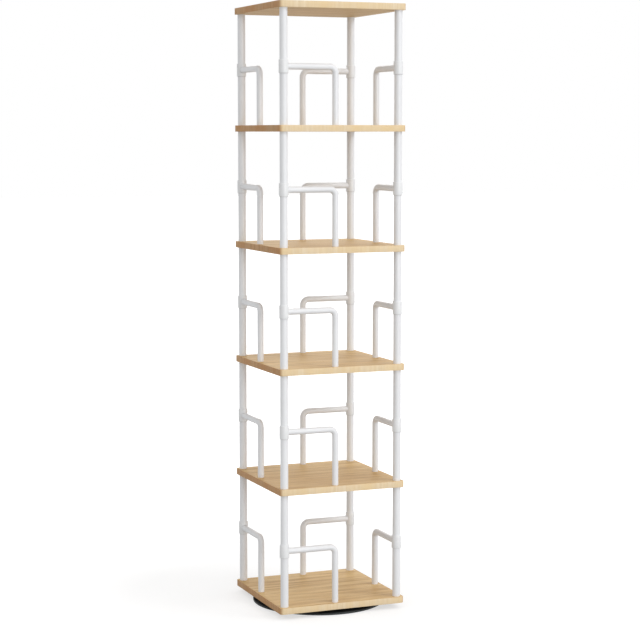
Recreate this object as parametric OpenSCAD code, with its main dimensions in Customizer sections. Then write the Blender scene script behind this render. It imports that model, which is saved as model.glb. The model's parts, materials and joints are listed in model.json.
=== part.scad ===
// Revolving bookcase: open tiers of square boards on four tube posts, with a bent
// guard rail on each side of each tier, turning on a ring bearing over a floor disc.
// The origin is on the floor under the turning axis, +Z is up and the front is -Y.

/* [Case] */
// Number of tiers
tier_count = 5; // [2:1:5]
// Height from the underside of one board to the underside of the next
tier_pitch = 303; // [240:1:360]
// Width and depth of a board
board_w = 340; // [320:5:420]
// Thickness of a board
board_t = 16; // [14:1:22]
// Radius of a board's upright corners
board_corner_r = 9; // [4:1:14]

/* [Posts] */
// Outside diameter of a post
post_d = 20; // [18:1:24]
// Wall thickness of a post
post_wall = 1.2; // [1:0.1:1.6]
// Distance from a board's edge to a post's axis
post_inset = 15.5; // [14:0.5:30]

/* [Guard rails] */
// Outside diameter of a guard rail
rail_d = 16; // [14:1:17]
// Wall thickness of a guard rail
rail_wall = 1.2; // [1:0.1:1.6]
// Distance from the post's axis to the axis of the rail's leg
rail_reach = 138; // [90:1:180]
// Bend radius of a rail at the middle of its tube
rail_bend_r = 16; // [14:1:40]
// Wall thickness of a collar
collar_wall = 2.2; // [1.6:0.1:4]
// Height of a collar
collar_h = 33; // [24:1:50]

/* [Turntable] */
// Diameter of the disc on the floor
floor_disc_d = 345; // [320:1:360]
// Thickness of the disc on the floor
floor_disc_t = 5; // [4:0.5:8]
// Height of the ring bearing, from the floor disc to the base board
bearing_h = 8.5; // [8:0.5:10]
// Diameter of the circle that the balls run on
ball_circle_d = 220; // [180:2:240]
// Diameter of a ball
ball_d = 4; // [3.6:0.1:4.2]
// Number of balls
ball_count = 32; // [16:4:40]

/* [Hidden] */
$fn = 64;
// Clearance on the radius of pieces that are plugged or screwed together
fit = 0.05;
// How far a cutting shape runs past the face that it opens
past = 1;

pad_d = 24;
pad_t = 2;
pad_recess = 1;
pad_circle_d = 300;
pad_count = 8;
disc_edge_r = 1.5;
disc_z = pad_t - pad_recess;
bearing_z = disc_z + floor_disc_t;
base_z = bearing_z + bearing_h;

post_x = board_w / 2 - post_inset;
post_len = tier_pitch - board_t;
rail_z = post_len / 2;
leg_x = rail_reach - post_x;
collar_d = post_d + 2 * collar_wall;
collar_chamfer = 0.8;

stud_d = 8;
stud_grip = 12;
stud_len = board_t + 2 * stud_grip;
stud_hole_d = stud_d + 0.5;
end_nut_len = 14;
insert_d = 12;
insert_len = 10;
insert_hole_depth = 11;

// Screws: shaft diameter, head diameter, head height and length
base_screw = [stud_d, 15, 4, board_t + stud_grip];
foot_screw = [5, 9.4, 2.7, board_t + 10];
disc_screw = [5, 9.4, 2.7, 12];
ring_screw = [3.5, 7, 2, 16];
foot_plug_len = 14;
screw_play = 0.2;
// Size of a screw's hexagon socket: its width against the shaft, its depth against the head
socket_width = 0.6;
socket_depth = 0.7;

ring_gap = 1.4;
ring_w = 17;
ring_rise = 1;
ring_t = bearing_h - ring_rise;
inner_ring_d = ball_circle_d - ring_gap;
outer_ring_d = ball_circle_d + ring_gap;
ring_screw_count = 8;
ring_screw_inset = 9.5;
inner_screw_r = inner_ring_d / 2 - ring_screw_inset;
outer_screw_r = outer_ring_d / 2 + ring_screw_inset;
groove_play = 0.3;
ball_z = bearing_z + bearing_h / 2;
cage_t = 0.7;
cage_h = 5.6;
cage_play = 0.15;

oak = "burlywood";
white = "whitesmoke";
black = [0.08, 0.09, 0.09];
zinc = "silver";

corners = ["front_left", "front_right", "back_right", "back_left"];
sides = ["front", "right", "back", "left"];
tiers = [1:tier_count];
shelf_levels = [1:tier_count - 1];

function shelf_name(level) = str("shelf_board_", level);
function post_name(tier, k) = str("post_", tier, "_", corners[k]);
function rail_name(tier, k) = str("guard_rail_", tier, "_", sides[k]);

// Height of a board's underside, where level 0 is the base board
function level_z(level) = base_z + level * tier_pitch;
// Height of the face that a tier stands on, where tier 1 is the lowest
function floor_of(tier) = level_z(tier - 1) + board_t;

// What is drawn at the front left, on all four sides
module four_sides() {
    for (k = [0:3]) rotate(90 * k) children();
}

module at_posts() {
    four_sides() translate([-post_x, -post_x]) children();
}

module at_legs() {
    four_sides() translate([leg_x, -post_x]) children();
}

module around(count, radius) {
    for (i = [0:count - 1]) rotate(360 * i / count) translate([radius, 0]) children();
}

module at_height(z) {
    translate([0, 0, z]) children();
}

// The cut of a through hole, from z = 0 up
module bore(d, length) {
    at_height(-past) cylinder(d = d, h = length + 2 * past);
}

// The cut of a blind hole that opens at z = 0
module blind_hole(d, depth) {
    at_height(-past) cylinder(d = d, h = depth + past);
}

module tube(d, bore_d, length) {
    difference() {
        cylinder(d = d, h = length);
        bore(bore_d, length);
    }
}

// A countersunk screw that points up, with the flat of its head at z = 0
module screw(sizes) {
    d = sizes[0];
    head_d = sizes[1];
    head_h = sizes[2];
    difference() {
        union() {
            cylinder(d1 = head_d, d2 = d, h = head_h);
            cylinder(d = d, h = sizes[3]);
        }
        at_height(-past)
            cylinder(d = socket_width * d / cos(30), h = past + socket_depth * head_h, $fn = 6);
    }
}

// The hole that such a screw sits in, through a piece that is length thick
module screw_hole(sizes, length) {
    d = sizes[0] + screw_play;
    head_d = sizes[1] + screw_play;
    cylinder(d1 = head_d, d2 = d, h = sizes[2]);
    blind_hole(head_d, 0);
    bore(d, length);
}

module board_blank() {
    straight = board_w - 2 * board_corner_r;
    linear_extrude(board_t) {
        square([straight, board_w], center = true);
        square([board_w, straight], center = true);
        for (x = [-1, 1], y = [-1, 1]) {
            translate([x * straight / 2, y * straight / 2]) circle(board_corner_r);
        }
    }
}

module base_board() {
    pilot_depth = ring_screw[3] - ring_t + screw_play;
    color(oak) at_height(base_z) difference() {
        board_blank();
        at_posts() screw_hole(base_screw, board_t);
        at_legs() screw_hole(foot_screw, board_t);
        around(ring_screw_count, outer_screw_r) blind_hole(ring_screw[0] + 2 * fit, pilot_depth);
    }
}

module shelf_board(level) {
    color(oak) at_height(level_z(level)) difference() {
        board_blank();
        at_posts() bore(stud_hole_d, board_t);
        at_legs() screw_hole(foot_screw, board_t);
    }
}

module top_board() {
    color(oak) at_height(level_z(tier_count)) difference() {
        board_blank();
        at_posts() blind_hole(insert_d + 2 * fit, insert_hole_depth);
    }
}

module top_board_inserts() {
    color(zinc) at_height(level_z(tier_count)) at_posts() tube(insert_d, stud_d + 2 * fit, insert_len);
}

module post(tier, k) {
    color(white) rotate(90 * k) translate([-post_x, -post_x, floor_of(tier)])
        tube(post_d, post_d - 2 * post_wall, post_len);
}

module post_end_nuts() {
    nut_d = post_d - 2 * post_wall - 2 * fit;
    color(zinc) for (tier = tiers, z = [0, post_len - end_nut_len]) {
        at_height(floor_of(tier) + z) at_posts() tube(nut_d, stud_d + 2 * fit, end_nut_len);
    }
}

module post_studs() {
    color(zinc) {
        for (level = shelf_levels) {
            at_height(level_z(level) - stud_grip) at_posts() cylinder(d = stud_d, h = stud_len);
        }
        at_height(level_z(tier_count) + insert_len - stud_len)
            at_posts() cylinder(d = stud_d, h = stud_len);
    }
}

module base_screws() {
    color(zinc) at_height(base_z) at_posts() screw(base_screw);
}

// The tube of a guard rail at the front left, which stands on z = 0
module rail_tube() {
    bore_d = rail_d - 2 * rail_wall;
    leg_h = rail_z - rail_bend_r;
    translate([leg_x, -post_x]) tube(rail_d, bore_d, leg_h);
    translate([leg_x, -post_x]) cylinder(d = rail_d, h = foot_plug_len);
    translate([leg_x - rail_bend_r, -post_x, leg_h]) rotate([90, 0, 0])
        rotate_extrude(angle = 90) translate([rail_bend_r, 0]) difference() {
            circle(d = rail_d);
            circle(d = bore_d);
        }
    translate([-post_x, -post_x, rail_z]) rotate([0, 90, 0]) tube(rail_d, bore_d, rail_reach - rail_bend_r);
}

module guard_rail(tier, k) {
    color(white) rotate(90 * k) at_height(floor_of(tier)) difference() {
        rail_tube();
        translate([-post_x, -post_x]) bore(post_d + 2 * fit, post_len);
        translate([leg_x, -post_x]) bore(foot_screw[0] + 2 * fit, foot_plug_len);
    }
}

// A collar around the z axis, with the rail's socket towards +X
module collar() {
    straight = collar_h - 2 * collar_chamfer;
    end_d = collar_d - 2 * collar_chamfer;
    difference() {
        union() {
            at_height(-collar_h / 2) cylinder(d1 = end_d, d2 = collar_d, h = collar_chamfer);
            at_height(-straight / 2) cylinder(d = collar_d, h = straight);
            at_height(straight / 2) cylinder(d1 = collar_d, d2 = end_d, h = collar_chamfer);
        }
        at_height(-collar_h / 2) bore(post_d + 2 * fit, collar_h);
        rotate([0, 90, 0]) cylinder(d = rail_d + 2 * fit, h = collar_d);
    }
}

module rail_collars() {
    color(white) for (tier = tiers) {
        at_height(floor_of(tier) + rail_z) at_posts() collar();
    }
}

module rail_foot_screws() {
    color(zinc) for (tier = tiers) {
        at_height(level_z(tier - 1)) at_legs() screw(foot_screw);
    }
}

module ball_groove() {
    groove_d = ball_d + 2 * groove_play;
    at_height(ball_z) rotate_extrude() translate([ball_circle_d / 2, 0]) circle(d = groove_d);
}

// The disc's outline from its axis out, with both edges of the rim rounded
module disc_profile() {
    rim_x = floor_disc_d / 2 - disc_edge_r;
    square([rim_x, floor_disc_t]);
    translate([0, disc_edge_r]) square([floor_disc_d / 2, floor_disc_t - 2 * disc_edge_r]);
    for (y = [disc_edge_r, floor_disc_t - disc_edge_r]) {
        translate([rim_x, y]) circle(disc_edge_r);
    }
}

module floor_disc() {
    color(black) at_height(disc_z) difference() {
        rotate_extrude() disc_profile();
        around(pad_count, pad_circle_d / 2) blind_hole(pad_d + 2 * fit, pad_recess);
        around(ring_screw_count, inner_screw_r) screw_hole(disc_screw, floor_disc_t);
    }
}

module foot_pads() {
    color(black) around(pad_count, pad_circle_d / 2) cylinder(d = pad_d, h = pad_t);
}

module bearing_inner_ring() {
    color(zinc) difference() {
        at_height(bearing_z) tube(inner_ring_d, inner_ring_d - 2 * ring_w, ring_t);
        ball_groove();
        at_height(bearing_z)
            around(ring_screw_count, inner_screw_r) bore(disc_screw[0] + 2 * fit, ring_t);
    }
}

module bearing_outer_ring() {
    color(zinc) difference() {
        at_height(bearing_z + ring_rise) tube(outer_ring_d + 2 * ring_w, outer_ring_d, ring_t);
        ball_groove();
        at_height(bearing_z + ring_rise)
            around(ring_screw_count, outer_screw_r) screw_hole(ring_screw, ring_t);
    }
}

module bearing_balls() {
    color(zinc) at_height(ball_z) around(ball_count, ball_circle_d / 2) sphere(d = ball_d);
}

module ball_cage() {
    color(white) at_height(ball_z) difference() {
        at_height(-cage_h / 2) tube(ball_circle_d + cage_t, ball_circle_d - cage_t, cage_h);
        around(ball_count, ball_circle_d / 2 - cage_t / 2) rotate([0, 90, 0])
            bore(ball_d + 2 * cage_play, cage_t);
    }
}

module floor_disc_screws() {
    color(zinc) at_height(disc_z) around(ring_screw_count, inner_screw_r) screw(disc_screw);
}

module outer_ring_screws() {
    color(zinc) at_height(bearing_z + ring_rise) around(ring_screw_count, outer_screw_r) screw(ring_screw);
}

floor_disc();
foot_pads();
bearing_inner_ring();
bearing_outer_ring();
bearing_balls();
ball_cage();
floor_disc_screws();
outer_ring_screws();
base_board();
top_board();
rail_collars();
post_end_nuts();
post_studs();
top_board_inserts();
base_screws();
rail_foot_screws();
for (level = shelf_levels) {
    shelf_board(level);
}
for (tier = tiers, k = [0:3]) {
    post(tier, k);
    guard_rail(tier, k);
}
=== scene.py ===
# %% [markdown]
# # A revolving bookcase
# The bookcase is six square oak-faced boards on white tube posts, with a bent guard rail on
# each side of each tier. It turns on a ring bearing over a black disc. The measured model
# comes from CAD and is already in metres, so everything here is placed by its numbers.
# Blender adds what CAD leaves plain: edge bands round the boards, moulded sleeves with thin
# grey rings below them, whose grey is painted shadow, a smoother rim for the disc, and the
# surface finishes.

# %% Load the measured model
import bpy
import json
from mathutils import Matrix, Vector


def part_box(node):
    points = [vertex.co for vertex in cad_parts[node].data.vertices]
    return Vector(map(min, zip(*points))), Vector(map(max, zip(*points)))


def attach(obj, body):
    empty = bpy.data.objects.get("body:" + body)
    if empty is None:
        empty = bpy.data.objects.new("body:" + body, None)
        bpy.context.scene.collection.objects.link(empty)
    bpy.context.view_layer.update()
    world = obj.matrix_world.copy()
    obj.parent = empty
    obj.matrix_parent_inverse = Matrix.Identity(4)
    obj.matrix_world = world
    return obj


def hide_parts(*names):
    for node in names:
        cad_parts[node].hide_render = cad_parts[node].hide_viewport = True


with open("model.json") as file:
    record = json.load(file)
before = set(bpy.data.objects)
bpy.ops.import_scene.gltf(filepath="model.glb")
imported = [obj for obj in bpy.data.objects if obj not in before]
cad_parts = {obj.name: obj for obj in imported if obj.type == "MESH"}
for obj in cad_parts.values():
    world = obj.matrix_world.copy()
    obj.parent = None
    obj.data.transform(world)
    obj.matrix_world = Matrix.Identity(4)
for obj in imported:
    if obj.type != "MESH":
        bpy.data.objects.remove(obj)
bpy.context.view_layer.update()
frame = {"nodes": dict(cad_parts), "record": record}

# %% [markdown]
# ## What the numbers are called
# Lengths in the workshop are in millimetres and Blender's are in metres, so a small
# function turns one into the other. The places of boards and posts are read from the CAD
# model itself, which keeps the dressed pieces on it without any fitting by eye.

# %% Sizes
import json
import math
import bpy
from mathutils import Matrix, Vector


def mm(value):
    """Millimetres in metres."""
    return value / 1000


CORNER_R = mm(9)
TOLERANCE = mm(0.01)
TIERS = 5
CORNERS = ["front_left", "front_right", "back_right", "back_left"]
BOARD_NODES = ["base_board"] + [f"shelf_board_{i}" for i in range(1, TIERS)] + ["top_board"]

base_low, base_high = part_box("base_board")
shelf_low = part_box("shelf_board_1")[0]
post_low, post_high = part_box("post_1_front_left")
board_half = base_high.x
board_t = base_high.z - base_low.z
tier_pitch = shelf_low.z - base_low.z
post_axis = (post_low.x + post_high.x) / 2
post_r = (post_high.x - post_low.x) / 2
print("board", 2 * board_half, "thickness", board_t, "pitch", tier_pitch, "post axis", post_axis)

# %% [markdown]
# ## The camera
# A camera is a focal length, a place and a direction. These were found by fitting edges and
# corners of the boards, posts, rails and disc to the photograph. Its posts stand exactly
# upright, as with a lens that shifts. A plain lens has to look down a little instead, but
# this one is long, about 104 mm, so the posts stay almost parallel.

# %% Camera
CAMERA_AZIMUTH = 21.873
CAMERA_PITCH = 5.766
CAMERA_DISTANCE = mm(4771.288)
CAMERA_SIDESTEP = mm(3.712)
CAMERA_HEIGHT = base_low.z + mm(1206.769)
SENSOR_W = 36
FOCAL_PIXELS = 1845.94
IMAGE_W = 640

azimuth = math.radians(CAMERA_AZIMUTH)
forward = Vector((math.sin(azimuth), math.cos(azimuth), 0))
rightward = Vector((math.cos(azimuth), -math.sin(azimuth), 0))
eye = rightward * CAMERA_SIDESTEP - forward * CAMERA_DISTANCE
eye.z = CAMERA_HEIGHT
bpy.ops.object.camera_add(location=eye, rotation=(math.radians(90 - CAMERA_PITCH), 0, -azimuth))
camera = bpy.context.object
camera.data.sensor_width = SENSOR_W
camera.data.lens = FOCAL_PIXELS * SENSOR_W / IMAGE_W
bpy.context.scene.camera = camera
print("camera at", [round(v, 3) for v in eye], "lens", round(camera.data.lens, 2), "mm")

# %% [markdown]
# ## Working with nodes
# Every finish below is a small graph of shader nodes. Adding a node, filling its inputs and
# wiring it up is always the same three steps, so a helper does all three: an input is
# either a plain value or the output of another node. Colours are written as on a screen,
# from 0 to 255, and turned into the linear values that the renderer counts in. Noise runs
# from 0 to 1 but hardly ever leaves its middle, so most finishes stretch that middle to the
# range that they need.


# %% Node helpers
NOISE_LOW = 0.3
NOISE_HIGH = 0.7


def screen_colour(red, green, blue):
    """A colour as picked on a screen, in Blender's linear values."""
    def linear(c):
        c = c / 255
        return c / 12.92 if c <= 0.04045 else ((c + 0.055) / 1.055) ** 2.4
    return (linear(red), linear(green), linear(blue), 1)


def add_node(tree, kind, inputs=None, **settings):
    """Adds a shader node, makes its settings, and fills or wires its inputs."""
    node = tree.nodes.new("ShaderNode" + kind)
    for name, value in settings.items():
        setattr(node, name, value)
    for name, value in (inputs or {}).items():
        if isinstance(value, bpy.types.NodeSocket):
            tree.links.new(value, node.inputs[name])
        else:
            node.inputs[name].default_value = value
    return node


def reckon(tree, operation, *values):
    """One step of arithmetic with one to three values or outputs of nodes."""
    return add_node(tree, "Math", dict(enumerate(values)), operation=operation).outputs[0]


def mix_colours(tree, factor, first, second):
    """Mixes two colours, where the three inputs are values or outputs of nodes."""
    return add_node(tree, "Mix", {0: factor, 6: first, 7: second}, data_type="RGBA").outputs[2]


def spread(tree, value, low, high, to_low=0.0, to_high=1.0):
    """Stretches low..high of a value to to_low..to_high and cuts off what is beyond."""
    limits = {"From Min": low, "From Max": high, "To Min": to_low, "To Max": to_high}
    return add_node(tree, "MapRange", {"Value": value, **limits}).outputs["Result"]


def from_noise(tree, noise, to_low=0.0, to_high=1.0):
    """Stretches the middle of a noise to to_low..to_high."""
    return spread(tree, noise, NOISE_LOW, NOISE_HIGH, to_low, to_high)


def stretched_noise(tree, where, waves, detail=3.0, roughness=0.5, shift=(0, 0, 0)):
    """Noise whose waves per metre differ along the three axes, as fibres in wood do."""
    moved = add_node(tree, "Mapping", {"Vector": where, "Location": shift, "Scale": waves}).outputs[0]
    grain = {"Vector": moved, "Scale": 1.0, "Detail": detail, "Roughness": roughness}
    return add_node(tree, "TexNoise", grain).outputs["Fac"]


def new_finish(name, **shader_values):
    """A material with its Principled shader and the piece's own coordinates."""
    finish = bpy.data.materials.new(name)
    finish.use_nodes = True
    tree = finish.node_tree
    shader = tree.nodes["Principled BSDF"]
    for socket, value in shader_values.items():
        shader.inputs[socket.replace("_", " ")].default_value = value
    coords = add_node(tree, "TexCoord").outputs["Object"]
    return finish, tree, shader, coords


def wire_up(tree, shader, colour, rough, height, bump_strength, bump_distance):
    """Feeds colour, roughness and a height for bump into the shader."""
    tree.links.new(colour, shader.inputs["Base Color"])
    tree.links.new(rough, shader.inputs["Roughness"])
    bump = add_node(tree, "Bump", {"Height": height, "Strength": bump_strength, "Distance": bump_distance})
    tree.links.new(bump.outputs[0], shader.inputs["Normal"])


print("node helpers ready")

# %% [markdown]
# ## Oak finish
# The boards are faced with an oak print under a satin varnish. Real oak has three scales of
# pattern: broad arches where growth rings are cut at a shallow angle, fine fibres along the
# board, and short dark pores. An image of wood could be wrapped on, but noise stretched
# along the grain gives all three at their true size and never repeats between boards,
# because each board sits at another height in the same noise. The three numbers after each
# pattern's name are its waves per metre: few along the grain and many across it.

# %% Oak colours and grain
OAK_LIGHT = screen_colour(230, 200, 148)
OAK_MID = screen_colour(213, 177, 122)
OAK_DARK = screen_colour(168, 126, 78)
OAK_PORE = screen_colour(136, 98, 56)
ARCH_WAVES = (1.3, 9, 9)
ARCH_FOLD = 0.045
FIBRE_WAVES = (9, 420, 420)
STREAK_WAVES = (3.5, 75, 75)
STREAK_DEPTH = 0.55
PATCH_WAVES = (2.2, 5, 5)
PATCH_DEPTH = 0.35
PORE_WAVES = (38, 1300, 1300)
PORE_DEPTH = 0.45
VARNISH_ROUGH = (0.50, 0.62)
VARNISH_SPECULAR = 0.12


def oak_relief(tree, where):
    """Fibres and pores of oak, and the roughness and height that they give."""
    fibres = stretched_noise(tree, where, FIBRE_WAVES, detail=4, roughness=0.65)
    pores = spread(tree, stretched_noise(tree, where, PORE_WAVES, detail=1), low=0.64, high=0.72)
    rough = from_noise(tree, fibres, *VARNISH_ROUGH)
    return fibres, pores, rough, reckon(tree, "SUBTRACT", fibres, pores)


def oak_colour(tree, where, fibres, pores):
    """The colour of oak, where x of the coordinates runs along the grain."""
    arches = stretched_noise(tree, where, ARCH_WAVES, detail=1.5)
    ring = spread(tree, reckon(tree, "PINGPONG", arches, ARCH_FOLD), low=0, high=ARCH_FOLD, to_high=0.5)
    streaks = stretched_noise(tree, where, STREAK_WAVES, roughness=0.6, shift=(1, 8, 4))
    patches = stretched_noise(tree, where, PATCH_WAVES, detail=2, shift=(3, 1, 7))
    tone = reckon(tree, "ADD", ring, from_noise(tree, fibres, to_high=0.5))
    colour = mix_colours(tree, tone, OAK_LIGHT, OAK_MID)
    streaked = spread(tree, streaks, low=0.46, high=0.66, to_high=STREAK_DEPTH)
    colour = mix_colours(tree, streaked, colour, OAK_DARK)
    patched = spread(tree, patches, low=0.45, high=0.8, to_high=PATCH_DEPTH)
    colour = mix_colours(tree, patched, colour, OAK_DARK)
    return mix_colours(tree, reckon(tree, "MULTIPLY", pores, PORE_DEPTH), colour, OAK_PORE)


oak_face, tree, shader, coords = new_finish("oak_face", Specular_IOR_Level=VARNISH_SPECULAR)
fibres, pores, rough, height = oak_relief(tree, coords)
colour = oak_colour(tree, coords, fibres, pores)
wire_up(tree, shader, colour, rough, height, bump_strength=0.25, bump_distance=mm(0.06))
print("oak face:", len(tree.nodes), "nodes")

# %% [markdown]
# ## Edge band finish
# A cut board shows its chips, so a thin strip is glued round its edge. The strip is paler
# than the tops at the front and back, partly its own colour and partly painted sheen. At
# the left and right it is darker, redder and striped across, partly as end grain and partly
# painted shade. The stripes have to follow the edge round the corners, and plain x, y, z
# can't do that. So the band gets a UV map later, with u along the strip and v up it. Folded
# back and forth at each side's length, u also tells this finish which kind of side it is on.

# %% Edge band colours
# Front and back colours: paler than the tops, partly the band's own and partly painted sheen.
BAND_LIGHT = screen_colour(235, 217, 188)
BAND_DARK = screen_colour(222, 199, 162)
BAND_GOLD = screen_colour(230, 204, 160)
# Left and right colours: darker and redder, partly end grain and partly painted shade.
BAND_END_SHADED_LIGHT = screen_colour(208, 171, 128)
BAND_END_SHADED_DARK = screen_colour(177, 137, 96)
BAND_END_SHADED_RED = screen_colour(190, 141, 93)
BAND_STRIPE_WAVES = (150, 9, 1)
BAND_BLOTCH_WAVES = (16, 3, 1)
straight = 2 * (board_half - CORNER_R)
quarter = math.pi / 2 * CORNER_R

oak_band, tree, shader, _ = new_finish("oak_band", Specular_IOR_Level=VARNISH_SPECULAR)
along = add_node(tree, "UVMap", uv_map="along_band").outputs["UV"]
_, _, rough, height = oak_relief(tree, along)
stripe = from_noise(tree, stretched_noise(tree, along, BAND_STRIPE_WAVES, shift=(5, 0, 0)))
blotches = stretched_noise(tree, along, BAND_BLOTCH_WAVES, roughness=0.6, shift=(2, 6, 0))
blotch = spread(tree, blotches, low=0.38, high=0.66)


def band_tone(light, dark, blotched):
    """Stripes of two colours with blotches of a third."""
    return mix_colours(tree, blotch, mix_colours(tree, stripe, light, dark), blotched)


# The front and back band carries painted sheen, the left and right band painted shade.
long_grain_and_painted_sheen = band_tone(BAND_LIGHT, BAND_DARK, BAND_GOLD)
end_grain_and_painted_shade = band_tone(BAND_END_SHADED_LIGHT, BAND_END_SHADED_DARK, BAND_END_SHADED_RED)
from_middle = reckon(tree, "ADD", add_node(tree, "SeparateXYZ", {0: along}).outputs["X"], -straight / 2)
to_side = reckon(tree, "PINGPONG", from_middle, straight + quarter)
corner_way = (straight + quarter) / 2
is_side = spread(tree, to_side, low=corner_way - CORNER_R / 2, high=corner_way + CORNER_R / 2)
colour = mix_colours(tree, is_side, long_grain_and_painted_sheen, end_grain_and_painted_shade)
wire_up(tree, shader, colour, rough, height, bump_strength=0.2, bump_distance=mm(0.05))
print("edge band:", len(tree.nodes), "nodes")

# %% [markdown]
# ## Powder coat
# The posts and rails are steel tube, sprayed with dry white powder that melts in an oven.
# It never flows quite flat: under a lamp the gloss has a fine skin like an orange's. Two
# sizes of noise in the bump give that skin and a slow waviness, and the roughness varies a
# little where hands polish it.

# %% Powder coat
POWDER_WHITE = screen_colour(232, 233, 235)
POWDER_SHADE = screen_colour(228, 229, 231)
SKIN_WAVES = (520, 520, 520)
WAVINESS_WAVES = (60, 60, 25)
WAVINESS_SHARE = 0.6
HANDLING_WAVES = (14, 14, 9)
POWDER_ROUGH = (0.30, 0.40)
WHITE_SPECULAR = 0.5

powder_white, tree, shader, coords = new_finish("powder_white", Specular_IOR_Level=WHITE_SPECULAR)
skin = stretched_noise(tree, coords, SKIN_WAVES, detail=2)
waviness = stretched_noise(tree, coords, WAVINESS_WAVES, detail=2)
handling = stretched_noise(tree, coords, HANDLING_WAVES, shift=(2, 5, 1))
height = reckon(tree, "MULTIPLY_ADD", waviness, WAVINESS_SHARE, skin)
handled = spread(tree, handling, low=0.35, high=0.7)
colour = mix_colours(tree, handled, POWDER_WHITE, POWDER_SHADE)
rough = from_noise(tree, handling, *POWDER_ROUGH)
wire_up(tree, shader, colour, rough, height, bump_strength=0.12, bump_distance=mm(0.05))
print("powder coat:", len(tree.nodes), "nodes")

# %% [markdown]
# ## Sleeve plastic
# The short sleeves that grip the rails are moulded plastic, of nearly the same white as the
# tubes and a little glossier. Moulded plastic is faintly cloudy where it cooled unevenly. A
# soft noise of that size mixes two close whites and shifts the gloss with them. It is read
# over nearly its whole range, because a narrow range would give the clouds hard outlines.

# %% Sleeve plastic
SLEEVE_WHITE = screen_colour(233, 234, 235)
SLEEVE_CLOUD = screen_colour(228, 229, 230)
CLOUD_WAVES = (55, 55, 40)
CLOUD_RANGE = (0.1, 0.9)
SPARK_WAVES = (1400, 1400, 1400)
SLEEVE_ROUGH = (0.24, 0.32)

sleeve_white, tree, shader, coords = new_finish("sleeve_white", Specular_IOR_Level=WHITE_SPECULAR)
clouds = stretched_noise(tree, coords, CLOUD_WAVES, detail=1.5)
spark = stretched_noise(tree, coords, SPARK_WAVES, detail=1)
colour = mix_colours(tree, spread(tree, clouds, *CLOUD_RANGE), SLEEVE_WHITE, SLEEVE_CLOUD)
rough = spread(tree, clouds, *CLOUD_RANGE, *SLEEVE_ROUGH)
wire_up(tree, shader, colour, rough, spark, bump_strength=0.08, bump_distance=mm(0.03))
print("sleeve plastic:", len(tree.nodes), "nodes")

# %% [markdown]
# ## Painted shadow ring
# Below each sleeve lies a thin darker line, the sleeve's shade on the post. It is painted
# with a thin ring of darker grey, so the ring's grey is painted shadow. It is dull, and a
# fine noise mixes a dusty grey into it and roughens it there.

# %% Painted shadow ring
# The ring's grey is painted shadow: the sleeve's shade on the post.
SHADOW_RING_GREY = screen_colour(196, 196, 197)
SHADOW_RING_DUST = screen_colour(184, 183, 181)
SHADOW_RING_DUST_WAVES = (260, 260, 260)
SHADOW_RING_ROUGH = (0.5, 0.65)
DULL_SPECULAR = 0.3

shadow_ring_grey, tree, shader, coords = new_finish("shadow_ring_grey", Specular_IOR_Level=DULL_SPECULAR)
dust = stretched_noise(tree, coords, SHADOW_RING_DUST_WAVES, detail=4)
colour = mix_colours(tree, spread(tree, dust, low=0.35, high=0.7), SHADOW_RING_GREY, SHADOW_RING_DUST)
rough = from_noise(tree, dust, *SHADOW_RING_ROUGH)
wire_up(tree, shader, colour, rough, dust, bump_strength=0.2, bump_distance=mm(0.03))
print("seal:", len(tree.nodes), "nodes")

# %% [markdown]
# ## Black turntable
# The disc is steel with a black textured powder coat, the sort that hides scratches. Its
# grains are about a millimetre. The coat is paler at the outer edge, on the side wall and
# the rounded rims: the distance from the turning axis tells the shader where that is, and
# a noise of dust breaks the paler band up.

# %% Black coat
COAT_BLACK = screen_colour(30, 33, 33)
COAT_DUST = screen_colour(42, 45, 46)
COAT_RIM_PALE = screen_colour(60, 63, 64)
COAT_GRAIN_WAVES = (1100, 1100, 1100)
COAT_DUST_WAVES = (18, 18, 40)
COAT_ROUGH = (0.5, 0.68)
RIM_START = mm(171.4)
RIM_FULL = mm(172.4)


def from_axis(tree, where):
    """Distance from the bookcase's axis, in metres."""
    flat = add_node(tree, "VectorMath", {0: where, 1: (1, 1, 0)}, operation="MULTIPLY").outputs[0]
    return add_node(tree, "VectorMath", {0: flat}, operation="LENGTH").outputs["Value"]


turntable_black, tree, shader, coords = new_finish("turntable_black", Specular_IOR_Level=DULL_SPECULAR)
grains = stretched_noise(tree, coords, COAT_GRAIN_WAVES, detail=2)
dust = stretched_noise(tree, coords, COAT_DUST_WAVES, detail=4)
at_rim = spread(tree, from_axis(tree, coords), RIM_START, RIM_FULL)
rim_breakup = spread(tree, dust, low=0.45, high=0.7, to_low=0.1, to_high=0.8)
colour = mix_colours(tree, spread(tree, dust, low=0.4, high=0.75), COAT_BLACK, COAT_DUST)
colour = mix_colours(tree, reckon(tree, "MULTIPLY", at_rim, rim_breakup), colour, COAT_RIM_PALE)
rough = from_noise(tree, grains, *COAT_ROUGH)
wire_up(tree, shader, colour, rough, grains, bump_strength=0.35, bump_distance=mm(0.12))
print("black coat:", len(tree.nodes), "nodes")

# %% [markdown]
# ## Bearing rings
# The bearing's rings are turned on a lathe, so their tool marks are circles round the
# bookcase's axis. The distance from that axis is the length of the vector (x, y, 0), and a
# noise of that one number makes rings. Oil lies on them in larger patches, which show only
# in the gloss.

# %% Turned steel
RING_STEEL = screen_colour(58, 58, 60)
RING_BRIGHT = screen_colour(92, 92, 94)
TOOL_MARK_WAVES = 2600.0
OIL_WAVES = (35, 35, 35)
RING_ROUGH = (0.28, 0.45)

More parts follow.
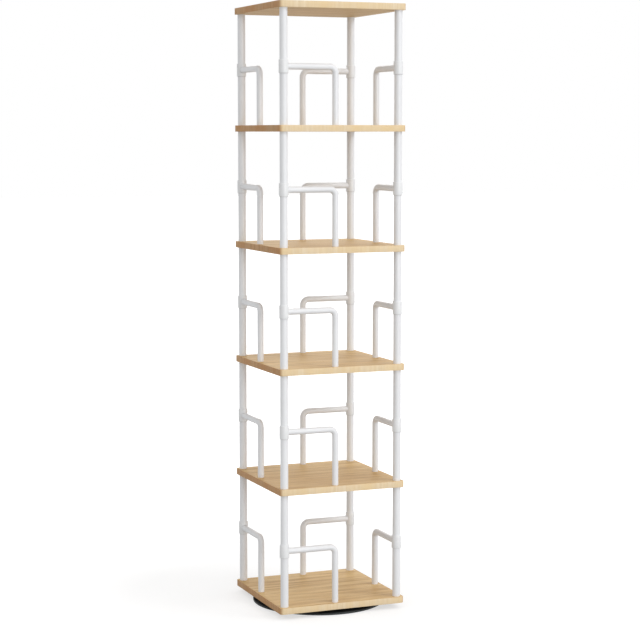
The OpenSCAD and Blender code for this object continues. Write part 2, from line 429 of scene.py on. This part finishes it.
ring_steel, tree, shader, coords = new_finish("ring_steel", Metallic=0.85)
marks = {"W": from_axis(tree, coords), "Scale": TOOL_MARK_WAVES, "Detail": 2.0}
turning = add_node(tree, "TexNoise", marks, noise_dimensions="1D").outputs["Fac"]
oil = stretched_noise(tree, coords, OIL_WAVES)
colour = mix_colours(tree, from_noise(tree, turning), RING_STEEL, RING_BRIGHT)
rough = from_noise(tree, oil, *RING_ROUGH)
wire_up(tree, shader, colour, rough, turning, bump_strength=0.15, bump_distance=mm(0.03))
print("turned steel:", len(tree.nodes), "nodes")

# %% [markdown]
# ## Fasteners
# Screws, studs and plugs are zinc plated: pale grey metal, clouded where the plating is
# thicker. One noise gives the clouds in colour and in gloss together. Another, with many
# waves up and few across, gives the fine level lines that turning leaves.

# %% Zinc plate
ZINC_PALE = screen_colour(196, 198, 202)
ZINC_CLOUD = screen_colour(168, 171, 176)
ZINC_WAVES = (220, 220, 220)
ZINC_LINE_WAVES = (90, 90, 2400)
ZINC_ROUGH = (0.28, 0.42)

zinc_plate, tree, shader, coords = new_finish("zinc_plate", Metallic=1.0)
plating = stretched_noise(tree, coords, ZINC_WAVES, detail=4)
lines = stretched_noise(tree, coords, ZINC_LINE_WAVES, detail=1)
colour = mix_colours(tree, spread(tree, plating, low=0.35, high=0.65), ZINC_PALE, ZINC_CLOUD)
rough = from_noise(tree, plating, *ZINC_ROUGH)
wire_up(tree, shader, colour, rough, lines, bump_strength=0.1, bump_distance=mm(0.02))
print("zinc plate:", len(tree.nodes), "nodes")

# %% [markdown]
# ## Bearing balls
# The balls are ground and polished, the brightest metal here. A film of yellowish grease
# lies on parts of them, and what is greasy is also duller, so one noise does both. A second
# one, very fine and faint, scuffs the surface.

# %% Polished balls
BALL_BRIGHT = screen_colour(214, 215, 218)
BALL_GREASE = screen_colour(186, 180, 160)
GREASE_WAVES = (300, 300, 300)
SCUFF_WAVES = (1800, 2600, 900)
BALL_ROUGH = (0.08, 0.3)

ball_steel, tree, shader, coords = new_finish("ball_steel", Metallic=1.0)
grease = stretched_noise(tree, coords, GREASE_WAVES, detail=2)
scuffs = stretched_noise(tree, coords, SCUFF_WAVES, detail=2)
colour = mix_colours(tree, spread(tree, grease, low=0.5, high=0.75), BALL_BRIGHT, BALL_GREASE)
rough = spread(tree, grease, 0.4, 0.75, *BALL_ROUGH)
wire_up(tree, shader, colour, rough, scuffs, bump_strength=0.03, bump_distance=mm(0.02))
print("polished balls:", len(tree.nodes), "nodes")

# %% [markdown]
# ## Cage and pads
# The cage that spaces the balls is natural nylon, milky and slightly yellow, so a little
# light is let into it. The pads under the disc are black rubber, which is never a mirror:
# it is rough, and greyed by floor dust.

# %% Nylon and rubber
NYLON = screen_colour(226, 221, 204)
NYLON_YELLOWED = screen_colour(214, 205, 178)
NYLON_FLOW_WAVES = (60, 60, 400)
NYLON_ROUGH = (0.42, 0.55)
RUBBER = screen_colour(36, 36, 37)
RUBBER_DUST = screen_colour(66, 65, 63)
RUBBER_DUST_WAVES = (240, 240, 240)
RUBBER_ROUGH = (0.72, 0.88)

cage_nylon, tree, shader, coords = new_finish("cage_nylon", Subsurface_Weight=0.15, Subsurface_Scale=mm(1))
flow = stretched_noise(tree, coords, NYLON_FLOW_WAVES)
colour = mix_colours(tree, spread(tree, flow, low=0.35, high=0.7), NYLON, NYLON_YELLOWED)
rough = from_noise(tree, flow, *NYLON_ROUGH)
wire_up(tree, shader, colour, rough, flow, bump_strength=0.1, bump_distance=mm(0.03))

pad_rubber, tree, shader, coords = new_finish("pad_rubber", Specular_IOR_Level=DULL_SPECULAR)
dust = stretched_noise(tree, coords, RUBBER_DUST_WAVES, detail=5)
colour = mix_colours(tree, spread(tree, dust, low=0.42, high=0.7), RUBBER, RUBBER_DUST)
rough = from_noise(tree, dust, *RUBBER_ROUGH)
wire_up(tree, shader, colour, rough, dust, bump_strength=0.3, bump_distance=mm(0.08))
print("nylon and rubber ready")

# %% [markdown]
# ## Dress the CAD nodes
# The tubes, the bearing and the fasteners already have their true shape, so they only get
# a finish in place of the plain colour that they came with. Each keeps its name.

# %% Finishes on the CAD nodes
FINISH_OF_SLOT = {
    "oak_board": oak_face,
    "tube_white": powder_white,
    "collar_white": sleeve_white,
    "turntable_black": turntable_black,
    "pad_rubber": pad_rubber,
    "ring_steel": ring_steel,
    "ball_steel": ball_steel,
    "cage_plastic": cage_nylon,
    "zinc_steel": zinc_plate,
}
for part in frame["record"]["subparts"]:
    frame["nodes"][part["node"]].data.materials[0] = FINISH_OF_SLOT[part["material_slot"]]

# %% [markdown]
# ## Picking faces and edges in code
# By hand a modeller clicks on what the next tool should change. A script has no mouse, so
# it asks each face or edge a question, such as whether it is upright, and selects those
# that answer yes. Everything is deselected first, because a tool acts on all that is
# selected.


# %% Picking
def select_only(piece):
    """Makes one piece the only selected and the active one."""
    bpy.ops.object.select_all(action="DESELECT")
    piece.select_set(True)
    bpy.context.view_layer.objects.active = piece


def pick(piece, kind, wanted):
    """Opens a piece in edit mode with only the faces or edges selected that are wanted."""
    select_only(piece)
    bpy.ops.object.mode_set(mode="EDIT")
    bpy.ops.mesh.select_mode(type=kind)
    bpy.ops.mesh.select_all(action="DESELECT")
    bpy.ops.object.mode_set(mode="OBJECT")
    for part in piece.data.polygons if kind == "FACE" else piece.data.edges:
        part.select = wanted(part)
    bpy.ops.object.mode_set(mode="EDIT")


def ends(piece, edge):
    """The two points that an edge joins."""
    return [piece.data.vertices[i].co for i in edge.vertices]


def is_level(face):
    """True for a face that looks straight up or straight down."""
    return abs(face.normal.z) > 0.9


print("picking helpers ready")

# %% [markdown]
# ## The workshop's tools
# The bookcase's own pieces need few tools: a cylinder in its place, a rounded edge, a
# modifier and a cut. Each is a Blender tool that a modeller would call from a menu, wrapped
# in a function with the settings that are the same every time.


# %% Shaping tools
def new_cylinder(sides, radius, depth, centre, rotation=(0, 0, 0)):
    """A cylinder whose place and turn are already part of its mesh."""
    bpy.ops.object.select_all(action="DESELECT")
    bpy.ops.mesh.primitive_cylinder_add(
        vertices=sides, radius=radius, depth=depth, location=centre, rotation=rotation)
    bpy.ops.object.transform_apply(location=True, rotation=True, scale=True)
    return bpy.context.object


def round_edges(piece, radius, steps, wanted):
    """Bevels the edges that are wanted."""
    pick(piece, "EDGE", wanted)
    bpy.ops.mesh.bevel(offset=radius, segments=steps, affect="EDGES")
    bpy.ops.object.mode_set(mode="OBJECT")


def apply_modifier(piece, kind, **settings):
    """Adds a modifier, makes its settings and applies it."""
    select_only(piece)
    modifier = piece.modifiers.new(kind.title(), kind)
    for name, value in settings.items():
        setattr(modifier, name, value)
    bpy.ops.object.modifier_apply(modifier=modifier.name)


def cut_away(piece, cutter):
    """Takes the cutter's shape out of a piece and throws the cutter away."""
    apply_modifier(piece, "BOOLEAN", object=cutter, operation="DIFFERENCE", solver="EXACT")
    bpy.data.objects.remove(cutter)


print("shaping tools ready")

# %% [markdown]
# ## Holes
# A hole is cut with a boolean: a drill is a cylinder whose lower face is extruded and
# widened into a countersink, and it runs a little past the board, because two faces in the
# same plane confuse the cut. Only the screws' heads show, from below, but with their holes
# all pieces stay separate and real.

# %% Drill
HOLE_SIDES = 40
OVERRUN = mm(1)


def spots_round(count, x, y=0.0):
    """A spot and its copies at even steps round the axis."""
    return [Matrix.Rotation(math.tau * k / count, 3, "Z") @ Vector((x, y, 0)) for k in range(count)]


def drill(spot, low_z, depth, radius, head_r=None, head_h=0.0):
    """A drill's shape from low_z up, widened below into a countersink if it has a head."""
    middle = (spot.x, spot.y, low_z + (depth + head_h) / 2)
    bit = new_cylinder(HOLE_SIDES, radius, depth - head_h, middle)
    pick(bit, "FACE", lambda face: is_level(face) and face.normal.z < 0)
    if head_r:
        wider = head_r / radius
        bpy.ops.mesh.extrude_region_move(TRANSFORM_OT_translate={"value": (0, 0, -head_h)})
        bpy.ops.transform.resize(value=(wider, wider, 1), center_override=(spot.x, spot.y, low_z))
    bpy.ops.mesh.extrude_region_move(TRANSFORM_OT_translate={"value": (0, 0, -OVERRUN)})
    bpy.ops.object.mode_set(mode="OBJECT")
    return bit


print("drill ready")

# %% [markdown]
# ## A board's core
# A board starts as a cube of its true size, less the band's thickness all round. Bevelling
# the four upright edges rounds the corners, which is how a router goes round them. Then
# its level edges are eased a little, and the holes are drilled. A screw's hole has three
# sizes: radius of the shank, radius of the head and height of the head. Large screws hold
# the lowest posts, and small ones the guard rails and, further on, the bearing on its disc.

# %% Board sizes and a core
BAND_T = mm(1)
CORNER_STEPS = 10
CORE_EASE = mm(0.25)
CORE_EASE_STEPS = 2
STUD_HOLE_R = mm(4.25)
INSERT_R = mm(6.05)
INSERT_DEPTH = mm(11)
LARGE_SCREW = (mm(4.1), mm(7.6), mm(4))
SMALL_SCREW = (mm(2.6), mm(4.8), mm(2.7))


def rounded_slab(low_z, half, corner_r):
    """A square slab round the axis with rounded upright corners."""
    centre = (0, 0, low_z + board_t / 2)
    bpy.ops.object.select_all(action="DESELECT")
    bpy.ops.mesh.primitive_cube_add(size=1, location=centre, scale=(2 * half, 2 * half, board_t))
    slab = bpy.context.object
    bpy.ops.object.transform_apply(location=True, rotation=True, scale=True)

    def is_upright(edge):
        a, b = ends(slab, edge)
        return abs(a.z - b.z) > board_t / 2

    round_edges(slab, corner_r, CORNER_STEPS, is_upright)
    return slab


def board_core(low_z, holes):
    """The board inside its edge band, with each kind of hole at its four spots."""
    core = rounded_slab(low_z, board_half - BAND_T, CORNER_R - BAND_T)

    def is_level_edge(edge):
        a, b = ends(core, edge)
        return a.z == b.z

    round_edges(core, CORE_EASE, CORE_EASE_STEPS, is_level_edge)
    for spots, depth, *sizes in holes:
        for spot in spots:
            cut_away(core, drill(spot, low_z, depth, *sizes))
    return core


print("board cores:", round(2 * (board_half - BAND_T), 4), "m wide")

# %% [markdown]
# ## Copying and finishing
# What repeats is modelled once. A copy gets a mesh of its own, moved by a matrix, so its
# object stays at the origin, where the CAD's objects are too. The last touches are the same
# for every piece: a name, smooth shading across shallow angles, a material, the body that
# it moves with, and hiding the CAD node that it stands for.

# %% Copying and finishing
SMOOTH_BELOW = math.radians(30)


def copy_piece(piece, move):
    """A copy with its own mesh, where the matrix says."""
    copied = piece.copy()
    copied.data = piece.data.copy()
    copied.data.transform(move)
    bpy.context.scene.collection.objects.link(copied)
    return copied


def finish_piece(piece, name, material, node, body="case"):
    """Names and smooths a piece, gives it its finish, and puts it on its body."""
    piece.name = piece.data.name = name
    piece.data.materials.clear()
    piece.data.materials.append(material)
    select_only(piece)
    bpy.ops.object.shade_smooth_by_angle(angle=SMOOTH_BELOW)
    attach(piece, body)
    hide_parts(node)


print("copying and finishing ready")

# %% [markdown]
# ## Cores of the six boards
# The four shelf boards are the same, so one is modelled and copied. The base board's holes
# under the posts are countersunk, for the screws that hold the lowest posts. The top board
# has blind holes from below, for threaded inserts, and so a clean top.

# %% Six cores
leg_low, leg_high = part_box("guard_rail_1_front")
rail_r = (leg_high.y - leg_low.y) / 2
leg_axis = leg_high.x - rail_r
post_spots = spots_round(4, post_axis, post_axis)
leg_spots = spots_round(4, leg_axis, post_axis)
through = board_t + OVERRUN
low_zs = [base_low.z + level * tier_pitch for level in range(TIERS + 1)]
rail_holes = (leg_spots, through, *SMALL_SCREW)

shelf_core = board_core(low_zs[1], [(post_spots, through, STUD_HOLE_R), rail_holes])
cores = [board_core(low_zs[0], [(post_spots, through, *LARGE_SCREW), rail_holes]), shelf_core]
for low_z in low_zs[2:TIERS]:
    cores.append(copy_piece(shelf_core, Matrix.Translation((0, 0, low_z - low_zs[1]))))
cores.append(board_core(low_zs[TIERS], [(post_spots, INSERT_DEPTH, INSERT_R)]))
for core, node in zip(cores, BOARD_NODES):
    finish_piece(core, node + "_core", oak_face, node)
print("cores:", [len(core.data.polygons) for core in cores], "faces")

# %% [markdown]
# ## Unrolling the band
# The band's finish asks how far along the strip a point is, and a UV map can say so: u is
# the way gone round the board, over straights and rounded corners alike, and v the height.
# Blender could unwrap the strip by itself. Worked out from the points' places, the map is
# in metres and starts at the same corner on every board.


# %% Unrolling the band
def way_round(point):
    """How far round the board's outline a point is, in metres, from the front left corner."""
    inner = board_half - CORNER_R
    for side in range(4):
        turned = Matrix.Rotation(math.radians(-90 * side), 3, "Z") @ point
        if turned.y < -inner and turned.x > -inner - TOLERANCE:
            break
    start = side * (straight + quarter)
    if turned.x <= inner:
        return start + turned.x + inner
    return start + straight + math.atan2(turned.x - inner, -inner - turned.y) * CORNER_R


def unroll(band):
    """Gives the band a UV map in metres along the strip and up it."""
    whole = 4 * (straight + quarter)
    layer = band.data.uv_layers.new(name="along_band")
    for face in band.data.polygons:
        ways = [way_round(band.data.vertices[i].co) for i in face.vertices]
        if max(ways) - min(ways) > whole / 2:
            ways = [way + whole if way < whole / 2 else way for way in ways]
        for loop, index, way in zip(face.loop_indices, face.vertices, ways):
            layer.data[loop].uv = (way, band.data.vertices[index].co.z)


print("once round a board:", round(4 * (straight + quarter), 4), "m")

# %% [markdown]
# ## The edge band
# The band is a strip one millimetre thick. A slab without its top and bottom is a ribbon of
# no thickness, Solidify thickens it inwards, and a small bevel eases its rims, so a fine
# joint line shows between band and board as on a real one.

# %% Bands round the six boards
BAND_EASE = mm(0.35)
BAND_EASE_STEPS = 3
SHARP_ABOVE = math.radians(60)


def ease_sharp_edges(piece, width, steps):
    """Bevels every edge whose faces meet at more than 60 degrees."""
    apply_modifier(piece, "BEVEL", width=width, segments=steps, limit_method="ANGLE", angle_limit=SHARP_ABOVE)


def edge_band(low_z):
    """A strip round the board with eased rims."""
    band = rounded_slab(low_z, board_half, CORNER_R)
    pick(band, "FACE", is_level)
    bpy.ops.mesh.delete(type="FACE")
    bpy.ops.object.mode_set(mode="OBJECT")
    apply_modifier(band, "SOLIDIFY", thickness=BAND_T, offset=-1.0, use_even_offset=True)
    ease_sharp_edges(band, BAND_EASE, BAND_EASE_STEPS)
    return band


for low_z, node in zip(low_zs, BOARD_NODES):
    band = edge_band(low_z)
    unroll(band)
    finish_piece(band, node + "_band", oak_band, node)
print("bands:", len(BOARD_NODES), "each", len(band.data.polygons), "faces")

# %% [markdown]
# ## A sleeve
# A sleeve is a short tube. A cylinder gives the outside; insetting both end faces and
# bridging them opens the bore, and a rounded bevel gives the soft upper lip that catches
# the light. The rail's socket is cut with a cylinder that lies along the rail.

# %% One sleeve
SLEEVE_R = mm(12.2)
SLEEVE_H = mm(33)
SLEEVE_LIP = mm(1.0)
SLEEVE_FOOT = mm(0.2)
SLEEVE_SIDES = 64
RIM_STEPS = 5
RIM_DEPTH = mm(0.5)
FIT = mm(0.05)
sleeve_at = Vector((post_axis, post_axis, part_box("rail_collars")[0].z + SLEEVE_H / 2))


def open_bore(piece, wall):
    """Turns a cylinder into a tube: insets its two ends and joins the circles inside."""
    pick(piece, "FACE", is_level)
    bpy.ops.mesh.inset(thickness=wall)
    bpy.ops.mesh.bridge_edge_loops()
    bpy.ops.object.mode_set(mode="OBJECT")


def on_outer_rim(edge, end):
    """True for the edges where a sleeve's outside meets its upper (1) or lower (-1) end."""
    a, b = (point - sleeve_at for point in ends(sleeve, edge))
    at_end = min(end * a.z, end * b.z) > SLEEVE_H / 2 - TOLERANCE
    return at_end and ((a + b) / 2).xy.length > SLEEVE_R - RIM_DEPTH


sleeve = new_cylinder(SLEEVE_SIDES, SLEEVE_R, SLEEVE_H, sleeve_at)
open_bore(sleeve, SLEEVE_R - post_r - FIT)
round_edges(sleeve, SLEEVE_LIP, RIM_STEPS, lambda edge: on_outer_rim(edge, 1))
round_edges(sleeve, SLEEVE_FOOT, RIM_STEPS, lambda edge: on_outer_rim(edge, -1))
socket_at = sleeve_at + Vector((SLEEVE_R, 0, 0))
lying = (0, math.radians(90), 0)
cut_away(sleeve, new_cylinder(SLEEVE_SIDES, rail_r + FIT, 2 * SLEEVE_R, socket_at, rotation=lying))
print("sleeve:", len(sleeve.data.polygons), "faces")

# %% [markdown]
# ## A shadow ring
# The shadow ring is a thinner ring right below the sleeve, made in the same way. It stands
# out from the post by less than the sleeve does, so it lies in the sleeve's shade. With its
# darker grey, which is painted shadow, it shows as the fine line that separates the two.

# %% One shadow ring
SHADOW_RING_H = mm(0.9)
SHADOW_RING_PROUD = mm(0.5)
SHADOW_RING_EASE = mm(0.2)
SHADOW_RING_EASE_STEPS = 2

shadow_ring_at = sleeve_at - Vector((0, 0, (SLEEVE_H + SHADOW_RING_H) / 2))
# The ring's darker grey stands for the sleeve's shade on the post: painted shadow.
shadow_ring = new_cylinder(SLEEVE_SIDES, post_r + SHADOW_RING_PROUD, SHADOW_RING_H, shadow_ring_at)
open_bore(shadow_ring, SHADOW_RING_PROUD - FIT)
ease_sharp_edges(shadow_ring, SHADOW_RING_EASE, SHADOW_RING_EASE_STEPS)
print("seal:", len(shadow_ring.data.polygons), "faces")

# %% [markdown]
# ## Twenty of each
# Every post segment wears the same sleeve and shadow ring, turned by a quarter from corner
# to corner and raised by a tier from level to level. The first ones are only patterns, and
# are thrown away when the copies stand in their places.

# %% Twenty sleeves and shadow rings
# The rings' darker grey is painted shadow, the sleeves' shade on the posts.
for tier in range(TIERS):
    for side, corner in enumerate(CORNERS):
        turned = Matrix.Rotation(math.radians(90 * side), 4, "Z")
        move = Matrix.Translation((0, 0, tier * tier_pitch)) @ turned
        for piece, name, finish in ((sleeve, "rail_sleeve", sleeve_white), (shadow_ring, "sleeve_shadow_ring", shadow_ring_grey)):
            full_name = f"{name}_{tier + 1}_{corner}"
            finish_piece(copy_piece(piece, move), full_name, finish, "rail_collars")
bpy.data.objects.remove(sleeve)
bpy.data.objects.remove(shadow_ring)
print("sleeves and seals:", TIERS * len(CORNERS), "of each")

# %% [markdown]
# ## The floor disc
# The disc from the CAD has its true size, but its rounded rim is cut into long triangles,
# and their corners show against the white floor. So the disc is modelled again with many
# more sides: a cylinder whose flat faces get a narrow inset border, which keeps the shading
# of the rest flat, and whose rims get a rounded bevel. The recesses of the pads and the
# screws' holes are drilled from below. The disc stays on the floor while the case turns, so
# it rides on another body than the pieces above.

# %% One disc
DISC_SIDES = 256
DISC_BORDER = mm(4)
DISC_EDGE_R = mm(1.5)
DISC_FIXINGS = 8
PAD_CIRCLE_R = mm(150)
PAD_RECESS_DEPTH = mm(1)
PAD_RECESS_R = mm(12.05)
DISC_SCREW_CIRCLE_R = mm(99.8)
disc_low, disc_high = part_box("floor_disc")
disc_r = disc_high.x
disc_t = disc_high.z - disc_low.z

disc = new_cylinder(DISC_SIDES, disc_r, disc_t, (0, 0, disc_low.z + disc_t / 2))
pick(disc, "FACE", is_level)
bpy.ops.mesh.inset(thickness=DISC_BORDER)
bpy.ops.object.mode_set(mode="OBJECT")


def on_disc_rim(edge):
    """True for the edges of the two circles where the disc's side meets its flat faces."""
    a, b = ends(disc, edge)
    return abs(a.z - b.z) < TOLERANCE and min(a.xy.length, b.xy.length) > disc_r - RIM_DEPTH


round_edges(disc, DISC_EDGE_R, RIM_STEPS, on_disc_rim)
for spot in spots_round(DISC_FIXINGS, PAD_CIRCLE_R):
    cut_away(disc, drill(spot, disc_low.z, PAD_RECESS_DEPTH, PAD_RECESS_R))
for spot in spots_round(DISC_FIXINGS, DISC_SCREW_CIRCLE_R):
    cut_away(disc, drill(spot, disc_low.z, disc_t + OVERRUN, *SMALL_SCREW))
finish_piece(disc, "floor_disc_plate", turntable_black, "floor_disc", body="floor_base")
print("disc:", len(disc.data.polygons), "faces")

# %% [markdown]
# ## Floor and backdrop
# The floor is pale and plain. A white floor that is only lit never comes out as white as
# the paper of a page, and more light would burn out the white tubes. So the floor adds a
# little light of its own, which only the camera, mirrors and glass see: the object isn't
# lit by it, and its shadow stays. Two steps away from the bookcase it is pure white, so
# that no horizon shows. From below, the floor is clear, so that the underside of the
# bookcase can be looked at.

# %% Floor
FLOOR_SIZE = 60
FLOOR_PALE = (0.45, 0.45, 0.45, 1)
FLOOR_LIFT = 0.61
PURE_WHITE = 1.0
SWEEP_START = 0.5
SWEEP_END = 1.6


def seen_directly(tree):
    """1 for rays from the camera, from mirrors and through glass, and 0 for diffuse light."""
    path = add_node(tree, "LightPath").outputs
    seen = reckon(tree, "MAXIMUM", path["Is Camera Ray"], path["Is Glossy Ray"])
    return reckon(tree, "MAXIMUM", seen, path["Is Transmission Ray"])


bpy.ops.object.select_all(action="DESELECT")
bpy.ops.mesh.primitive_plane_add(size=FLOOR_SIZE, location=(0, 0, 0))
floor = bpy.context.object
floor.name = "studio_floor"
floor_finish = bpy.data.materials.new("studio_floor")
floor_finish.use_nodes = True
tree = floor_finish.node_tree
tree.nodes.clear()
lit = add_node(tree, "BsdfDiffuse", {"Color": FLOOR_PALE})
spot_on_floor = add_node(tree, "TexCoord").outputs["Object"]
away = add_node(tree, "VectorMath", {0: spot_on_floor}, operation="LENGTH").outputs["Value"]
whiter = spread(tree, away, SWEEP_START, SWEEP_END, FLOOR_LIFT, PURE_WHITE)
glow = add_node(tree, "Emission", {"Strength": reckon(tree, "MULTIPLY", seen_directly(tree), whiter)})
both = add_node(tree, "AddShader", {0: lit.outputs[0], 1: glow.outputs[0]})
clear = add_node(tree, "BsdfTransparent")
underside = add_node(tree, "NewGeometry").outputs["Backfacing"]
result = add_node(tree, "MixShader", {0: underside, 1: both.outputs[0], 2: clear.outputs[0]})
add_node(tree, "OutputMaterial", {"Surface": result.outputs[0]})
floor.data.materials.append(floor_finish)
print("floor", FLOOR_SIZE, "m square")

# %% [markdown]
# ## Light
# In the photograph the fronts are bright, the left sides of the tubes are darker than the
# right, and nothing is black. That is a studio with pale walls and large lamps. The world
# stands for the walls. A wide lamp in front gives the tubes their long soft shine, a high
# one at the front right lights the boards' tops, and a weak one behind brightens the right
# rims of the tubes. All are large, because a small lamp would give hard shadows.

# %% World and lamps
AMBIENT = 0.77
LAMP_AT = Vector((0, 0, 0.75))
LAMPS = {
    "front_softbox": (Vector((1.6, -9.0, 1.0)), (6.0, 3.6), 296),
    "high_softbox": (Vector((4.5, -4.5, 6.9)), (3.0, 3.0), 184),
    "back_softbox": (Vector((2.2, 5.3, 2.6)), (2.5, 2.5), 30),
}

world = bpy.data.worlds.new("studio")
bpy.context.scene.world = world
world.use_nodes = True
tree = world.node_tree
strength = spread(tree, seen_directly(tree), 0, 1, AMBIENT, PURE_WHITE)
tree.nodes["Background"].inputs["Color"].default_value = (1, 1, 1, 1)
tree.links.new(strength, tree.nodes["Background"].inputs["Strength"])

for name, (place, size, watts) in LAMPS.items():
    bpy.ops.object.light_add(type="AREA", location=place)
    lamp = bpy.context.object
    lamp.name = name
    lamp.rotation_euler = (LAMP_AT - place).to_track_quat("-Z", "Y").to_euler()
    lamp.data.shape = "RECTANGLE"
    lamp.data.size, lamp.data.size_y = size
    lamp.data.energy = watts
    print(name, watts, "W at", [round(v, 2) for v in place])
bpy.context.scene.view_settings.view_transform = "Standard"
